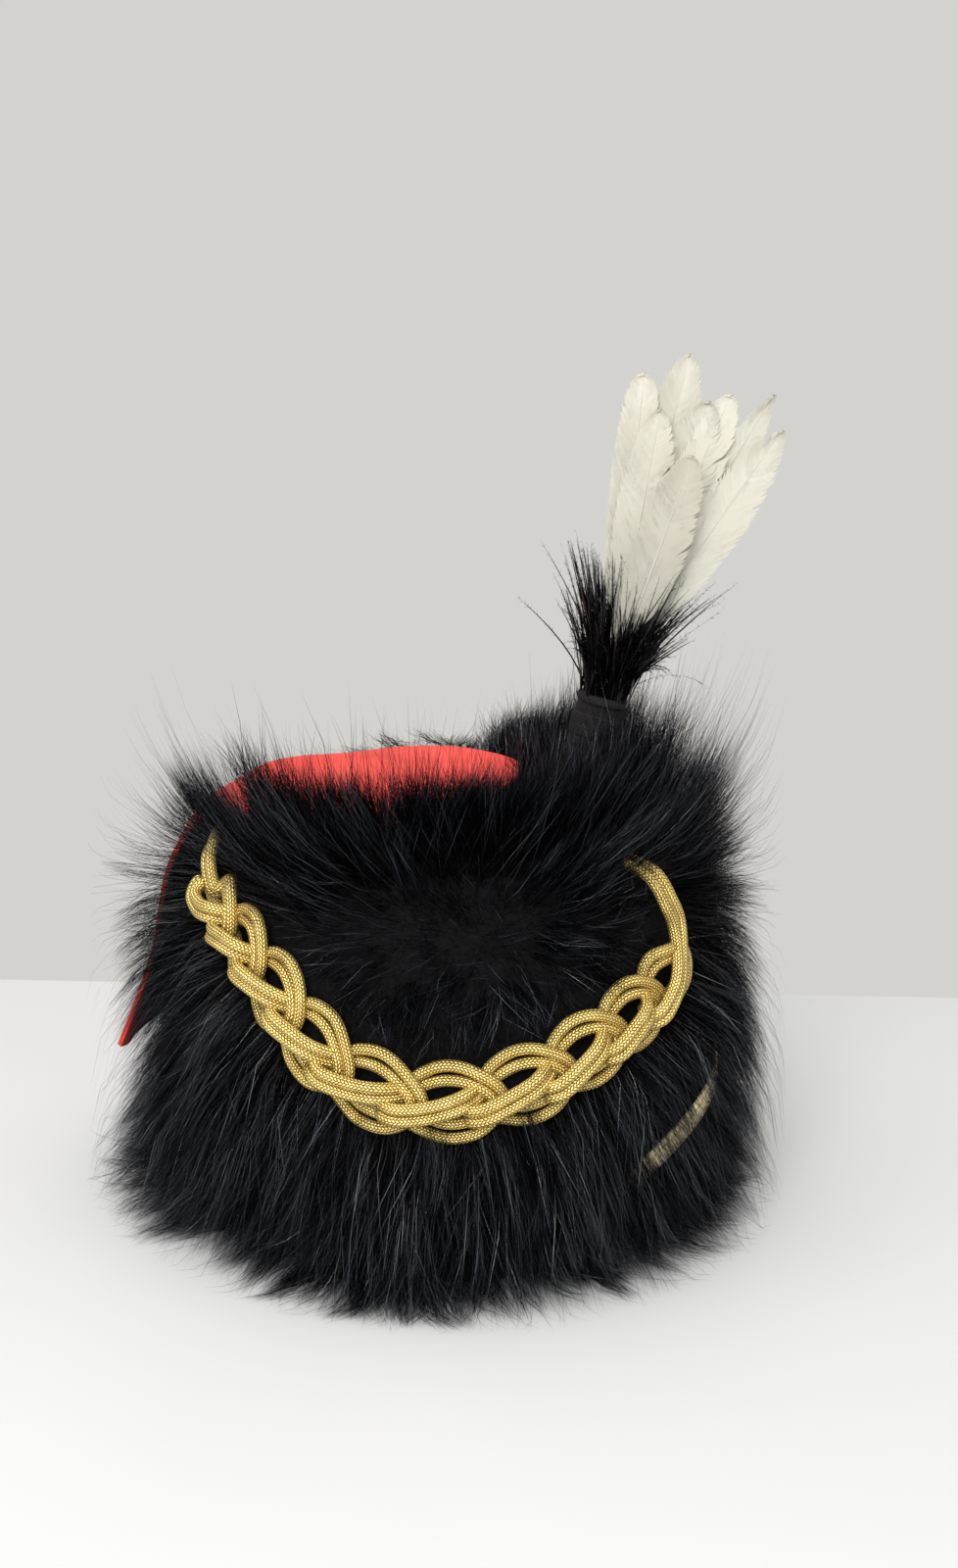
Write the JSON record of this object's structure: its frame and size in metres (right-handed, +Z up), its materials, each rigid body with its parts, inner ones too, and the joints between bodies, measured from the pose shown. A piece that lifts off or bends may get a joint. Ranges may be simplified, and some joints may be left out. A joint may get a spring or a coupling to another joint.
{
  "type": "busby",
  "caption": "Tall fur busby standing on its rim, with a felt bag over the crown, a chain-plaited cord swag across the front, a lace chin strap and a feather plume.",
  "frame": {"origin": "middle of the head opening, in the plane of the rim that the cap stands on", "axes": "+Z up along the cap, -Y to the front where the plait hangs, +X to the wearer's left"},
  "size_m": [0.2917, 0.2622, 0.3606],
  "materials": {
    "shell": "stiffened black cloth, matt",
    "fur": "deep black fur with a cool sheen on single hairs",
    "felt": "scarlet wool felt, matt with a short nap",
    "wrap": "black tape wound in turns, matt",
    "herl": "black herl, soft and hairy",
    "feather": "white feather, soft satin vane",
    "cord": "braided gold metal thread, bright on the turns",
    "lace": "pale gold metal lace"
  },
  "bodies": {
    "root": {"crown_shell": "shell", "fur_cover": "fur", "bag": "felt", "plume_base": "wrap", "plume_hackle": "herl", "plume_feathers": "feather", "gold_plait": "cord", "chin_strap": "lace"}
  },
  "joints": []
}
